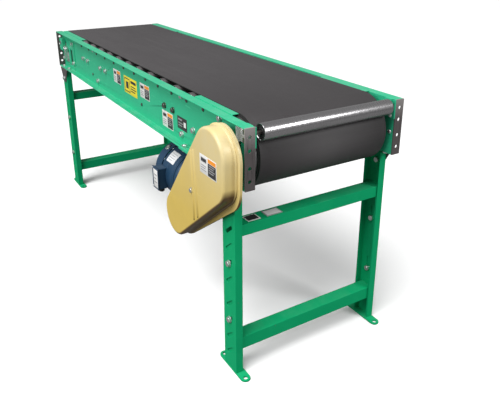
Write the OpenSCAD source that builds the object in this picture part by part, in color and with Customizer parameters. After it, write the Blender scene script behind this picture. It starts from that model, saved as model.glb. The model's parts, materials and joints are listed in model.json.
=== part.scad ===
// Powered belt conveyor section: roller bed, end drive with chain guard, take-up tail and
// telescoping floor supports. Millimetres, +X along the belt to the drive end, floor at z = 0.

/* [Bed] */
// Length of the side channels
bed_length = 1900; // [1890:5:1920]
// Height of the underside of the side channels above the floor
frame_bottom = 650; // [648:1:655]
// Depth of the side channels
frame_depth = 178; // [176:1:180]
// Width over the side channel flange tips
bed_width = 566; // [564:1:566]
// Width of the side channel flanges
flange_width = 32; // [31:0.5:33]
// Sheet thickness of the channels and braces
gauge = 3; // [2.8:0.1:3]

/* [Belt and rollers] */
// Width of the belt
belt_width = 457; // [400:1:457]
// Thickness of the belt
belt_thickness = 5; // [4:0.5:5]
// Outside radius of the roller tubes
roller_radius = 24.15; // [23:0.05:24.15]
// Distance between carrying roller axles
roller_pitch = 114.3; // [112:0.1:115]
// Width across the flats of the hexagon axles
axle_flats = 11.1; // [10.9:0.05:11.1]
// Radius of the lagged drive pulley
drive_radius = 103.6; // [100:0.2:104]
// Radius of the tail pulley
tail_radius = 51; // [49:0.5:52]
// Radius of the drive shaft
drive_shaft_radius = 15; // [14:0.5:15]

/* [Chain drive] */
// Pitch of the roller chain
chain_pitch = 12.7; // [12.7:0.1:12.7]
// Teeth on each sprocket
sprocket_teeth = 20; // [20:4:20]
// Chain pitches between the two shafts
centre_pitches = 28; // [27:1:28]
// Slope of the chain below horizontal, degrees
chain_slope = 49.9; // [49:0.1:50.5]
// Distance of the sprocket plane from the bed centre
sprocket_offset = 315; // [314:0.5:316]
// Depth of the chain guard cover
guard_depth = 47; // [46:0.5:50]

/* [Supports] */
// Distance of each support from the bed end to the leg centre
support_inset = 91; // [88:1:95]
// Width of the upper leg channels
leg_width = 72; // [70:1:74]
// Distance over the outer faces of the legs
leg_span = 568; // [568:1:568]
// Height of the highest leg bolt above the floor
upper_bolt_height = 386; // [384:1:388]
// Height of the lower leg bolt above the floor
lower_bolt_height = 188; // [186:1:190]
// Travel of the height adjustment
height_travel = 40; // [35:5:40]
// Distance between the two anchor holes of a foot
anchor_spacing = 132; // [126:1:134]
// Radius of the anchor holes
anchor_radius = 7; // [5:0.5:8]

/* [Hidden] */
$fn = 48;
half_length = bed_length / 2;
end_plate = 4;
channel_half = half_length - end_plate;
frame_top = frame_bottom + frame_depth;
tip_y = bed_width / 2;
web_in = tip_y - flange_width;
web_out = web_in + gauge;
carry_gap = 0.35;
bolt_radius = 5;
bolt_clearance = 0.5;
bolt_head = 6.4;
nut_height = 8;
hex_corner = 9.8;

carry_z = frame_top - carry_gap - roller_radius;
carry_count = 12;
first_roller_x = 353.1 - half_length;
roller_bore = axle_flats / 2 / cos(30) + 0.06;
tube_wall = 1.8;
carry_half = 244;
cup_length = 12;
popout_half = 229;

drive_x = half_length - 119;
drive_wrap = drive_radius + 0.4;
drive_z = frame_top - drive_wrap;
pulley_half = 238;
shell_radius = drive_radius - 5.5;
tail_x = 46.5 - half_length;
tail_wrap = tail_radius + 0.4;
tail_z = frame_top - tail_wrap;
tail_shaft_radius = 10;
takeup_travel = 25;
return_z = frame_top - 2 * tail_wrap - belt_thickness - 0.3 - roller_radius;
return_positions = [-450, 150];
snub_x = drive_x - 156;
snub_wrap = roller_radius + 0.3 + belt_thickness;
popout_x = half_length - 11.5;
popout_z = drive_z + 83;

spacer_positions = [-548, -292.5, 404.5];
spacer_bolt_x = 34.5;
spacer_bolt_z = 746;
web_bolts = [[511, 812], [503, 680], [589, 717], [765, 803], [-403, 813], [-376, 679]];
bearing_bolt = 36;
bearing_face = 12;
popout_bolt_x = half_length - 36;
popout_bolts = [782, 806];
coupling_rows = [676, 714, 764, 802];
coupling_y = web_out + 14;
coupling_hole = 5.5;
flange_bolt_y = web_out + 15;
mount_x0 = drive_x - 301;
mount_x1 = drive_x - 157;

pitch_radius = chain_pitch / 2 / sin(180 / sprocket_teeth);
centre_distance = centre_pitches * chain_pitch;
gear_x = drive_x - centre_distance * cos(chain_slope);
gear_z = drive_z - centre_distance * sin(chain_slope);
strand_angle = 180 + chain_slope;
tooth_step = 360 / sprocket_teeth;
chain_roller = 3.96;
root_radius = 4.3;
tip_radius = pitch_radius + 4.2;
guard_back_y = 289;
guard_sheet = 2;
guard_split_y = 297;
guard_face_y = guard_back_y + 2 + guard_depth;
stud_x = (drive_x + gear_x) / 2 + 20;
stud_z = (drive_z + gear_z) / 2;
output_radius = 14;
reducer_rows = [436, 544];
motor_y = -178;
motor_z = gear_z + 38;
motor_radius = 98;
motor_rear = 344;
motor_front = gear_x - 132;
mount_y = -140;

leg_x = half_length - support_inset;
leg_out = leg_span / 2;
leg_web_in = leg_out - gauge;
leg_flange = 25;
leg_bottom = 8;
leg_top = frame_bottom - 10;
nest_gap = 0.4;
inner_half = leg_width / 2 - gauge - nest_gap;
inner_out = leg_web_in - nest_gap;
inner_top = 478;
foot_y = leg_out - 16;
foot_height = 6;
slot_half = bolt_radius + bolt_clearance;
leg_slots = [72, 130, 188, 246, 330, 386, 442, 498];
pivot_bolt_z = 600;
pivot_bottom = pivot_bolt_z - 20;
pivot_sheet = 3;
pivot_y = leg_out + 0.2;

green = [0.08, 0.42, 0.3];
grey = [0.25, 0.24, 0.25];
zinc = [0.72, 0.73, 0.74];
steel = [0.78, 0.79, 0.8];
navy = [0.05, 0.1, 0.2];
cream = [0.8, 0.7, 0.4];
black = [0.06, 0.06, 0.06];
rubber = [0.2, 0.19, 0.19];

function roller_x(i) = first_roller_x + i * roller_pitch;

function arc_points(x, z, r, a0, a1, n) = [
    for (i = [0:n])
        let (a = a0 + (a1 - a0) * i / n)
            [x + r * cos(a), z + r * sin(a)]
];

// Angle at which the belt leaves the drive pulley for the snub roller
snub_distance = norm([snub_x - drive_x, return_z - drive_z]);
leave_angle = atan2(return_z - drive_z, snub_x - drive_x)
    + acos((drive_wrap + snub_wrap) / snub_distance);

function belt_loop(k) = concat(
    arc_points(drive_x, drive_z, drive_wrap + k, 90, leave_angle, 72),
    arc_points(snub_x, return_z, snub_wrap - k, leave_angle + 180, 90, 14),
    arc_points(tail_x, tail_z, tail_wrap + k, 270, 90, 48)
);

// Outward normal angle of the outer tangent from circle a to circle b, each [x, z, r]
function tangent_angle(a, b) = atan2(b[1] - a[1], b[0] - a[0])
    - acos((a[2] - b[2]) / norm([b[0] - a[0], b[1] - a[1]]));

function above(a, low) = a < low ? above(a + 360, low) : a;

function outline(c, k, n) = [
    for (i = [0:len(c) - 1])
        let (
            a0 = tangent_angle(c[(i + len(c) - 1) % len(c)], c[i]),
            a1 = above(tangent_angle(c[i], c[(i + 1) % len(c)]), a0)
        )
        each arc_points(c[i][0], c[i][1], c[i][2] + k, a0, a1, n)
];

guard_circles = [
    [drive_x + 13, drive_z + 2, 86],
    [gear_x - 1, gear_z, 70],
    [drive_x + 28, drive_z - 65, 70]
];
pan_circles = [
    [drive_x + 26, drive_z + 3, 92],
    [gear_x - 1, gear_z, 76],
    [drive_x + 28, drive_z - 74, 87]
];

module block(x0, x1, y0, y1, z0, z1) {
    translate([x0, y0, z0])
        cube([x1 - x0, y1 - y0, z1 - z0]);
}

module y_rod(x, z, r, y0, y1) {
    translate([x, y1, z])
        rotate([90, 0, 0])
            cylinder(r = r, h = y1 - y0);
}

module x_rod(y, z, r, x0, x1) {
    translate([x0, y, z])
        rotate([0, 90, 0])
            cylinder(r = r, h = x1 - x0);
}

module z_rod(x, y, r, z0, z1) {
    translate([x, y, z0])
        cylinder(r = r, h = z1 - z0);
}

// Hexagon bar along Y; turned by 30 degrees its flats face along X
module hex_bar(x, z, flats, y0, y1, turn) {
    translate([x, y1, z])
        rotate([90, 0, 0])
            rotate([0, 0, turn])
                cylinder(r = flats / 2 / cos(30), h = y1 - y0, $fn = 6);
}

module side_plate(points, y0, y1) {
    translate([0, y1, 0])
        rotate([90, 0, 0])
            linear_extrude(height = y1 - y0)
                polygon(points);
}

module left_side() {
    mirror([0, 1, 0])
        children();
}

module both_sides() {
    children();
    left_side()
        children();
}

module both_ends() {
    children();
    mirror([1, 0, 0])
        children();
}

module slot_cut(x0, x1, z, r, y0, y1) {
    block(x0, x1, y0, y1, z - r, z + r);
    y_rod(x0, z, r, y0, y1);
    y_rod(x1, z, r, y0, y1);
}

// Hexagon bolt with washer and nut, its head on the outer face
module web_bolt(x, z, face, grip) {
    y_rod(x, z, bolt_radius, face - grip - nut_height, face);
    y_rod(x, z, hex_corner + 1, face, face + 2);
    hex_bar(x, z, 17, face + 2, face + 2 + bolt_head, 0);
    hex_bar(x, z, 17, face - grip - nut_height, face - grip, 0);
}

// Vertical bolt through the bottom flange, its head underneath
module flange_bolt(x, z) {
    z_rod(x, flange_bolt_y, bolt_radius, z, frame_bottom + gauge + nut_height);
    translate([x, flange_bolt_y, z - bolt_head])
        cylinder(r = hex_corner, h = bolt_head, $fn = 6);
    translate([x, flange_bolt_y, frame_bottom + gauge])
        cylinder(r = hex_corner, h = nut_height, $fn = 6);
}

module web_hole(x, z) {
    y_rod(x, z, bolt_radius + bolt_clearance, web_in - 1, web_out + 1);
}

module flange_hole(x) {
    z_rod(x, flange_bolt_y, bolt_radius + bolt_clearance, frame_bottom - 1, frame_bottom + gauge + 1);
}

module shaft_slot(y0, y1) {
    slot_cut(tail_x, tail_x + takeup_travel, tail_z, tail_shaft_radius + 0.8, y0, y1);
}

module side_window(y0, y1) {
    block(142 - half_length, 179 - half_length, y0, y1, 690, 755);
}

module side_channel() {
    difference() {
        union() {
            block(-channel_half, channel_half, web_in, web_out, frame_bottom, frame_top);
            block(-channel_half, channel_half, web_in, tip_y, frame_top - gauge, frame_top);
            block(-channel_half, channel_half, web_in, tip_y, frame_bottom, frame_bottom + gauge);
        }
        for (i = [0:carry_count - 1])
            hex_bar(roller_x(i), carry_z, axle_flats + 0.4, web_in - 1, web_out + 1, 0);
        for (x = concat(return_positions, [snub_x]))
            hex_bar(x, return_z, axle_flats + 0.4, web_in - 1, web_out + 1, 0);
        for (p = web_bolts)
            web_hole(p[0], p[1]);
        for (x = spacer_positions, s = [-1, 1])
            web_hole(x + s * spacer_bolt_x, spacer_bolt_z);
        for (sx = [-1, 1], sz = [-1, 1])
            web_hole(drive_x + sx * bearing_bolt, drive_z + sz * bearing_bolt);
        for (z = popout_bolts)
            web_hole(popout_bolt_x, z);
        for (p = takeup_bolts)
            web_hole(p[0], p[1]);
        y_rod(drive_x, drive_z, 24, web_in - 1, web_out + 1);
        shaft_slot(web_in - 1, web_out + 1);
        side_window(web_in - 1, web_out + 1);
        for (s = [-1, 1], x = [leg_x - 46, leg_x + 46])
            flange_hole(s * x);
        for (x = [mount_x0 + 20, mount_x1 - 20])
            flange_hole(x);
    }
}

module frame_left() {
    color(green)
        left_side()
            side_channel();
}

module frame_right() {
    color(green)
        side_channel();
}

module end_couplings() {
    color(grey)
        both_ends()
            both_sides()
                difference() {
                    block(channel_half, half_length, web_in, tip_y, frame_bottom, frame_top);
                    for (z = coupling_rows)
                        x_rod(coupling_y, z, coupling_hole, half_length - 5, half_length + 1);
                }
}

module bed_spacers() {
    color(green)
        for (x = spacer_positions) {
            block(x - 23, x + 23, -web_in + gauge, web_in - gauge, 767, 770);
            for (s = [-1, 1])
                block(x + s * 21.5 - 1.5, x + s * 21.5 + 1.5, -web_in + gauge, web_in - gauge, 736, 770);
            both_sides()
                difference() {
                    block(x - 46, x + 46, web_in - gauge, web_in, 732, 770);
                    for (s = [-1, 1])
                        y_rod(x + s * spacer_bolt_x, spacer_bolt_z, 5.5, web_in - 4, web_in + 1);
                }
        }
}

module cover_strip(x0, x1) {
    block(x0, x1, web_in - 2.5, web_in, 812, frame_top + 2.5);
    block(x0, x1, 230, web_in, frame_top + 0.2, frame_top + 2.5);
}

module belt_covers() {
    color(green)
        both_sides() {
            cover_strip(drive_x - 231, drive_x - 1);
            cover_strip(30 - half_length, 350 - half_length);
        }
}

module roller_tube(x, z, half) {
    difference() {
        y_rod(x, z, roller_radius, -half, half);
        y_rod(x, z, roller_radius - tube_wall, -half + cup_length, half - cup_length);
        y_rod(x, z, roller_bore, -half - 1, half + 1);
    }
}

module carrying_roller(i) {
    color(steel)
        roller_tube(roller_x(i), carry_z, carry_half);
}

module return_roller(i) {
    color(steel)
        roller_tube(return_positions[i], return_z, carry_half);
}

module snub_roller() {
    color(steel)
        roller_tube(snub_x, return_z, carry_half);
}

module roller_axles() {
    color(zinc) {
        for (i = [0:carry_count - 1])
            hex_bar(roller_x(i), carry_z, axle_flats, -web_out - 3, web_out + 3, 0);
        for (x = concat(return_positions, [snub_x]))
            hex_bar(x, return_z, axle_flats, -web_out - 3, web_out + 3, 0);
    }
}

module drive_pulley() {
    color(grey)
        difference() {
            union() {
                difference() {
                    y_rod(drive_x, drive_z, shell_radius, -pulley_half, pulley_half);
                    y_rod(drive_x, drive_z, shell_radius - 6, -pulley_half - 1, pulley_half + 1);
                }
                for (s = [-1, 1]) {
                    y_rod(drive_x, drive_z, shell_radius - 5, s * 226 - 4, s * 226 + 4);
                    y_rod(drive_x, drive_z, 30, s * 223 - 15, s * 223 + 15);
                }
            }
            y_rod(drive_x, drive_z, drive_shaft_radius + 0.05, -pulley_half - 1, pulley_half + 1);
        }
}

module pulley_lagging() {
    color(black)
        difference() {
            y_rod(drive_x, drive_z, drive_radius, -232, 232);
            y_rod(drive_x, drive_z, shell_radius + 0.05, -233, 233);
        }
}

module drive_shaft() {
    color(steel)
        y_rod(drive_x, drive_z, drive_shaft_radius, -guard_face_y + 8, tip_y);
}

module drive_bearings() {
    color(grey)
        both_sides()
            difference() {
                union() {
                    block(drive_x - 48, drive_x + 48, web_out, web_out + bearing_face,
                        drive_z - 48, drive_z + 48);
                    y_rod(drive_x, drive_z, 33, web_out, web_out + 25);
                }
                y_rod(drive_x, drive_z, drive_shaft_radius + 0.05, web_out - 1, web_out + 26);
                for (sx = [-1, 1], sz = [-1, 1])
                    y_rod(drive_x + sx * bearing_bolt, drive_z + sz * bearing_bolt, 5.5,
                        web_out - 1, web_out + bearing_face + 1);
            }
}

module tail_pulley() {
    color(grey)
        difference() {
            y_rod(tail_x, tail_z, tail_radius, -pulley_half, pulley_half);
            y_rod(tail_x, tail_z, tail_radius - 5, -pulley_half + 16, pulley_half - 16);
            y_rod(tail_x, tail_z, tail_shaft_radius + 0.05, -pulley_half - 1, pulley_half + 1);
        }
}

module tail_shaft() {
    color(steel)
        y_rod(tail_x, tail_z, tail_shaft_radius, -web_out - 24, web_out + 24);
}

takeup_face = web_out + gauge;
takeup_bolts = [[198 - half_length, 788], [198 - half_length, 692], [20 - half_length, 692]];
screw_y = takeup_face + 9;
screw_z = 750;
screw_radius = 6;

module takeup_plates() {
    color(green)
        both_sides()
            difference() {
                block(5 - half_length, 215 - half_length, web_out, takeup_face, 680, 800);
                shaft_slot(web_out - 1, takeup_face + 1);
                side_window(web_out - 1, takeup_face + 1);
                for (p = takeup_bolts)
                    y_rod(p[0], p[1], 5.5, web_out - 1, takeup_face + 1);
            }
}

module takeup_blocks() {
    color(zinc)
        both_sides()
            difference() {
                block(tail_x - 26, tail_x + 26, takeup_face + 0.3, takeup_face + 18, 738, 798);
                y_rod(tail_x, tail_z, tail_shaft_radius + 0.03, takeup_face - 1, takeup_face + 19);
                x_rod(screw_y, screw_z, screw_radius + 0.06, tail_x - 27, tail_x + 27);
            }
}

module takeup_screws() {
    color(zinc)
        both_sides() {
            x_rod(screw_y, screw_z, screw_radius, 10 - half_length, 120 - half_length);
            translate([6 - half_length, screw_y, screw_z])
                rotate([0, 90, 0])
                    cylinder(r = 9, h = 8, $fn = 6);
            block(104 - half_length, 109 - half_length, takeup_face, takeup_face + 20, 700, 768);
            block(70 - half_length, 120 - half_length, takeup_face, takeup_face + 3, 685, 734);
            translate([109 - half_length, screw_y, screw_z])
                rotate([0, 90, 0])
                    cylinder(r = 9, h = 8, $fn = 6);
        }
}

module belt() {
    color(rubber)
        difference() {
            side_plate(belt_loop(belt_thickness), -belt_width / 2, belt_width / 2);
            side_plate(belt_loop(0), -belt_width, belt_width);
        }
}

module popout_roller() {
    color(steel)
        roller_tube(popout_x, popout_z, popout_half);
}

module popout_axle() {
    color(zinc)
        hex_bar(popout_x, popout_z, axle_flats, -web_in + 0.5, web_in - 0.5, 30);
}

module popout_brackets() {
    color(green)
        both_sides()
            difference() {
                block(half_length - 45, half_length - 1, web_in - 4, web_in, 768, frame_top - 1);
                block(popout_x - 5.8, popout_x + 5.8, web_in - 5, web_in + 1, popout_z - 6.5, frame_top);
                for (z = popout_bolts)
                    y_rod(popout_bolt_x, z, 5.5, web_in - 5, web_in + 1);
            }
}

module backing_plates() {
    color(zinc)
        both_sides()
            difference() {
                union() {
                    block(half_length - 69, half_length - 15, web_out, web_out + 2, 770, 818);
                    for (x = [half_length - 69, half_length - 17])
                        block(x, x + 2, web_out, web_out + 16, 770, 818);
                }
                for (z = popout_bolts)
                    y_rod(popout_bolt_x, z, 5.5, web_out - 1, web_out + 3);
            }
}

module guard_cover() {
    color(cream)
        difference() {
            union() {
                side_plate(outline(guard_circles, 0, 24), -guard_face_y, -guard_split_y);
                side_plate(outline(guard_circles, 5, 24), -guard_split_y - guard_sheet, -guard_split_y);
            }
            side_plate(outline(guard_circles, -guard_sheet, 24), -guard_face_y + guard_sheet, -guard_back_y);
            y_rod(stud_x, stud_z, 4.5, -guard_face_y - 1, -guard_face_y + 3);
        }
}

// Shallow pan behind the cover, open at the front inside the cover flange
module guard_back() {
    color(cream)
        difference() {
            side_plate(outline(pan_circles, 0, 24), -guard_split_y, -guard_back_y);
            side_plate(outline(pan_circles, -guard_sheet, 24), -guard_split_y + guard_sheet,
                -guard_back_y - guard_sheet);
            side_plate(outline(guard_circles, -4, 24), -guard_split_y - 1, -guard_back_y - guard_sheet);
            y_rod(drive_x, drive_z, 22, -guard_back_y - 3, -guard_back_y + 1);
            y_rod(gear_x, gear_z, 20, -guard_back_y - 3, -guard_back_y + 1);
            y_rod(stud_x, stud_z, 4.5, -guard_back_y - 3, -guard_back_y + 1);
            y_rod(leg_x, pivot_bolt_z, 14, -guard_split_y - 1, -guard_back_y + 1);
        }
}

module sprocket(x, z, bore) {
    difference() {
        union() {
            y_rod(x, z, tip_radius, -sprocket_offset - 3.6, -sprocket_offset + 3.6);
            y_rod(x, z, 25, -sprocket_offset, -sprocket_offset + 18);
        }
        for (k = [0:sprocket_teeth - 1])
            translate([x, -sprocket_offset, z])
                rotate([0, -(strand_angle + 90 + k * tooth_step), 0]) {
                    y_rod(pitch_radius, 0, root_radius, -4.6, 4.6);
                    side_plate([[pitch_radius, -root_radius], [tip_radius + 1, -6.6],
                        [tip_radius + 1, 6.6], [pitch_radius, root_radius]], -4.6, 4.6);
                }
        y_rod(x, z, bore, -sprocket_offset - 5, -sprocket_offset + 19);
    }
}

module driven_sprocket() {
    color(steel)
        sprocket(drive_x, drive_z, drive_shaft_radius + 0.05);
}

module drive_sprocket() {
    color(steel)
        sprocket(gear_x, gear_z, output_radius + 0.05);
}

module output_shaft() {
    color(steel)
        y_rod(gear_x, gear_z, output_radius, -guard_face_y + 8, -200);
}

// Roller of a straight run, at a distance along it from the drive shaft
module chain_pin(a, along) {
    translate([drive_x + pitch_radius * cos(a) + along * cos(strand_angle), -sprocket_offset,
        drive_z + pitch_radius * sin(a) + along * sin(strand_angle)])
        y_rod(0, 0, chain_roller, -4.6, 4.6, $fn = 20);
}

module drive_chain() {
    shafts = [[drive_x, drive_z, pitch_radius], [gear_x, gear_z, pitch_radius]];
    color(grey) {
        for (s = [-1, 1])
            difference() {
                side_plate(outline(shafts, 5.4, 20),
                    -sprocket_offset + s * 5.1 - 0.8, -sprocket_offset + s * 5.1 + 0.8);
                side_plate(outline(shafts, -5.4, 20), -sprocket_offset - 8, -sprocket_offset + 8);
            }
        for (m = [3:centre_pitches - 3], s = [-1, 1])
            chain_pin(strand_angle + s * 90, m * chain_pitch);
    }
}

module gear_reducer() {
    color(navy)
        difference() {
            union() {
                block(gear_x - 45, gear_x + 45, -262, mount_y, 412, 534);
                block(gear_x - 70, gear_x + 70, mount_y - 11, mount_y, 420, 560);
                y_rod(gear_x, gear_z, 38, -276, -261);
                x_rod(motor_y, motor_z, 60, motor_front + 30, motor_front + 58);
                x_rod(motor_y, motor_z, 28, motor_front + 57, gear_x - 44);
                x_rod(motor_y, motor_z, 26, gear_x + 44, gear_x + 54);
            }
            y_rod(gear_x, gear_z, output_radius + 0.05, -280, -195);
            for (x = [gear_x - 58, gear_x + 58], z = reducer_rows)
                y_rod(x, z, 5.5, mount_y - 12, mount_y + 1);
        }
}

module motor() {
    color(navy)
        difference() {
            union() {
                x_rod(motor_y, motor_z, motor_radius - 6, motor_rear - 8, motor_rear);
                x_rod(motor_y, motor_z, motor_radius, motor_rear, motor_front);
                x_rod(motor_y, motor_z, motor_radius - 6, motor_front, motor_front + 14);
                x_rod(motor_y, motor_z, 66, motor_front + 14, motor_front + 30);
                block(396, 424, motor_y - 8, motor_y + 8, motor_z + 94, motor_z + 112);
            }
            x_rod(motor_y, motor_z, 8.06, motor_rear - 10, motor_rear + 20);
        }
}

module fan_cover() {
    color(navy)
        difference() {
            x_rod(motor_y, motor_z, motor_radius - 2, motor_rear - 44, motor_rear - 0.5);
            x_rod(motor_y, motor_z, motor_radius - 4.5, motor_rear - 42, motor_rear + 1);
            for (ring = [1:3], k = [0:6 * ring - 1])
                rotate_about_motor(k * 60 / ring)
                    x_rod(motor_y, motor_z + 22 * ring, 5.5, motor_rear - 45, motor_rear - 41, $fn = 16);
        }
}

module rotate_about_motor(a) {
    translate([0, motor_y, motor_z])
        rotate([a, 0, 0])
            translate([0, -motor_y, -motor_z])
                children();
}

module motor_fan() {
    color(black)
        union() {
            x_rod(motor_y, motor_z, 8, motor_rear - 36, motor_rear + 16);
            x_rod(motor_y, motor_z, 18, motor_rear - 38, motor_rear - 14);
            x_rod(motor_y, motor_z, 80, motor_rear - 17, motor_rear - 14);
            for (k = [0:7])
                rotate_about_motor(k * 45)
                    block(motor_rear - 36, motor_rear - 16, motor_y - 1.5, motor_y + 1.5,
                        motor_z + 16, motor_z + 78);
        }
}

module conduit_box() {
    color(navy)
        difference() {
            block(346, 392, -300, -215, 447, 525);
            x_rod(motor_y, motor_z, motor_radius + 0.2, 330, 410);
        }
}

// Plate under the bed and plate beside the reducer, folded from one sheet
module motor_mount() {
    color(green)
        difference() {
            union() {
                block(mount_x0, mount_x1, mount_y, mount_y + 6, 406, frame_bottom);
                block(mount_x0, mount_x1, -tip_y, mount_y + 6, frame_bottom - 6, frame_bottom);
            }
            for (x = [mount_x0 + 20, mount_x1 - 20])
                z_rod(x, -flange_bolt_y, 5.5, frame_bottom - 7, frame_bottom + 1);
            for (x = [gear_x - 58, gear_x + 58], z = reducer_rows)
                y_rod(x, z, 5.5, mount_y - 1, mount_y + 7);
        }
}

module lower_leg() {
    color(green)
        difference() {
            union() {
                block(leg_x - inner_half, leg_x + inner_half, inner_out - gauge, inner_out,
                    foot_height, inner_top);
                for (x = [leg_x - inner_half, leg_x + inner_half - gauge])
                    block(x, x + gauge, inner_out - leg_flange + gauge, inner_out,
                        foot_height, inner_top);
                block(leg_x - 64, leg_x + 64, foot_y - 16, foot_y + 16, 0, foot_height);
                for (s = [-1, 1])
                    z_rod(leg_x + s * 64, foot_y, 16, 0, foot_height);
            }
            for (s = [-1, 1])
                z_rod(leg_x + s * anchor_spacing / 2, foot_y, anchor_radius, -1, foot_height + 1);
            for (z = [lower_bolt_height, upper_bolt_height]) {
                block(leg_x - slot_half, leg_x + slot_half, inner_out - gauge - 1, inner_out + 1,
                    z, z + height_travel);
                for (h = [0, height_travel])
                    y_rod(leg_x, z + h, slot_half, inner_out - gauge - 1, inner_out + 1);
            }
        }
}

module upper_leg() {
    color(green)
        difference() {
            union() {
                block(leg_x - leg_width / 2, leg_x + leg_width / 2, leg_web_in, leg_out,
                    leg_bottom, leg_top);
                for (x = [leg_x - leg_width / 2, leg_x + leg_width / 2 - gauge])
                    block(x, x + gauge, leg_out - leg_flange, leg_out, leg_bottom, leg_top);
            }
            for (z = leg_slots)
                translate([leg_x, 0, z])
                    rotate([0, -40, 0])
                        slot_cut(-17.5, 17.5, 0, slot_half, leg_web_in - 1, leg_out + 1);
            y_rod(leg_x, pivot_bolt_z, slot_half, leg_web_in - 1, leg_out + 1);
        }
}

module far_end() {
    mirror([1, 0, 0])
        children();
}

module brace(half_x, x_mid, half_y, z0, z1) {
    block(x_mid - half_x, x_mid + half_x, -half_y, half_y, z1 - gauge, z1);
    for (x = [x_mid - half_x, x_mid + half_x - gauge])
        block(x, x + gauge, -half_y, half_y, z0, z1);
}

module lower_braces() {
    color(green)
        both_ends()
            brace(24, leg_x + 4, inner_out - gauge, 84, 127);
}

module upper_braces() {
    color(green)
        both_ends()
            brace(26, leg_x + 5, leg_web_in, 482, 518);
}

module pivot_brackets() {
    color(grey)
        both_ends()
            both_sides()
                difference() {
                    union() {
                        side_plate([[leg_x - 58, frame_bottom], [leg_x - 17, pivot_bottom],
                            [leg_x + 17, pivot_bottom], [leg_x + 58, frame_bottom]],
                            pivot_y, pivot_y + pivot_sheet);
                        block(leg_x - 58, leg_x + 58, web_out + 2, pivot_y + pivot_sheet,
                            frame_bottom - pivot_sheet, frame_bottom);
                    }
                    y_rod(leg_x, pivot_bolt_z, slot_half, pivot_y - 1, pivot_y + pivot_sheet + 1);
                    for (x = [leg_x - 46, leg_x + 46])
                        z_rod(x, flange_bolt_y, 5.5, frame_bottom - pivot_sheet - 1, frame_bottom + 1);
                }
}

module support_bolts() {
    color(zinc)
        both_ends()
            both_sides() {
                for (z = [lower_bolt_height, upper_bolt_height])
                    web_bolt(leg_x, z, leg_out, 2 * gauge + nest_gap);
                web_bolt(leg_x, pivot_bolt_z, pivot_y + pivot_sheet, pivot_sheet + gauge + 0.2);
            }
}

module frame_bolts() {
    color(zinc) {
        both_sides() {
            for (p = web_bolts)
                web_bolt(p[0], p[1], web_out, gauge);
            for (x = spacer_positions, s = [-1, 1])
                web_bolt(x + s * spacer_bolt_x, spacer_bolt_z, web_out, 2 * gauge);
            for (sx = [-1, 1], sz = [-1, 1])
                web_bolt(drive_x + sx * bearing_bolt, drive_z + sz * bearing_bolt,
                    web_out + bearing_face, bearing_face + gauge);
            for (z = popout_bolts)
                web_bolt(popout_bolt_x, z, web_out + 2, gauge + 6);
            for (p = takeup_bolts)
                web_bolt(p[0], p[1], takeup_face, 2 * gauge);
            for (s = [-1, 1], x = [leg_x - 46, leg_x + 46])
                flange_bolt(s * x, frame_bottom - pivot_sheet);
        }
        left_side() {
            for (x = [mount_x0 + 20, mount_x1 - 20])
                flange_bolt(x, frame_bottom - 6);
            for (x = [gear_x - 58, gear_x + 58], z = reducer_rows)
                web_bolt(x, z, -mount_y + 11, 17);
            y_rod(stud_x, stud_z, 4, guard_back_y - 4, guard_face_y + 4);
            y_rod(stud_x, stud_z, 9, guard_face_y, guard_face_y + 1.5);
            hex_bar(stud_x, stud_z, 13, guard_face_y + 1.5, guard_face_y + 7, 0);
            hex_bar(stud_x, stud_z, 13, guard_back_y - 5, guard_back_y, 0);
        }
    }
}

/* [Hidden] */

frame_left();
frame_right();
end_couplings();
bed_spacers();
belt_covers();
carrying_roller(0);  // carrying_roller_01
carrying_roller(1);  // carrying_roller_02
carrying_roller(2);  // carrying_roller_03
carrying_roller(3);  // carrying_roller_04
carrying_roller(4);  // carrying_roller_05
carrying_roller(5);  // carrying_roller_06
carrying_roller(6);  // carrying_roller_07
carrying_roller(7);  // carrying_roller_08
carrying_roller(8);  // carrying_roller_09
carrying_roller(9);  // carrying_roller_10
carrying_roller(10);  // carrying_roller_11
carrying_roller(11);  // carrying_roller_12
roller_axles();
return_roller(0);  // return_roller_1
return_roller(1);  // return_roller_2
snub_roller();
drive_pulley();
pulley_lagging();
drive_shaft();
drive_bearings();
tail_pulley();
tail_shaft();
takeup_plates();
takeup_blocks();
takeup_screws();
belt();
popout_roller();
popout_axle();
popout_brackets();
backing_plates();
guard_cover();
guard_back();
driven_sprocket();
drive_sprocket();
output_shaft();
drive_chain();
gear_reducer();
motor();
fan_cover();
motor_fan();
conduit_box();
motor_mount();
left_side() lower_leg();  // near_lower_leg_left
lower_leg();  // near_lower_leg_right
far_end() left_side() lower_leg();  // far_lower_leg_left
far_end() lower_leg();  // far_lower_leg_right
left_side() upper_leg();  // near_upper_leg_left
upper_leg();  // near_upper_leg_right
far_end() left_side() upper_leg();  // far_upper_leg_left
far_end() upper_leg();  // far_upper_leg_right
lower_braces();
upper_braces();
pivot_brackets();
support_bolts();
frame_bolts();
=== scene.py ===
import bpy, bmesh, json, math, random
from mathutils import Vector, Matrix


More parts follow.
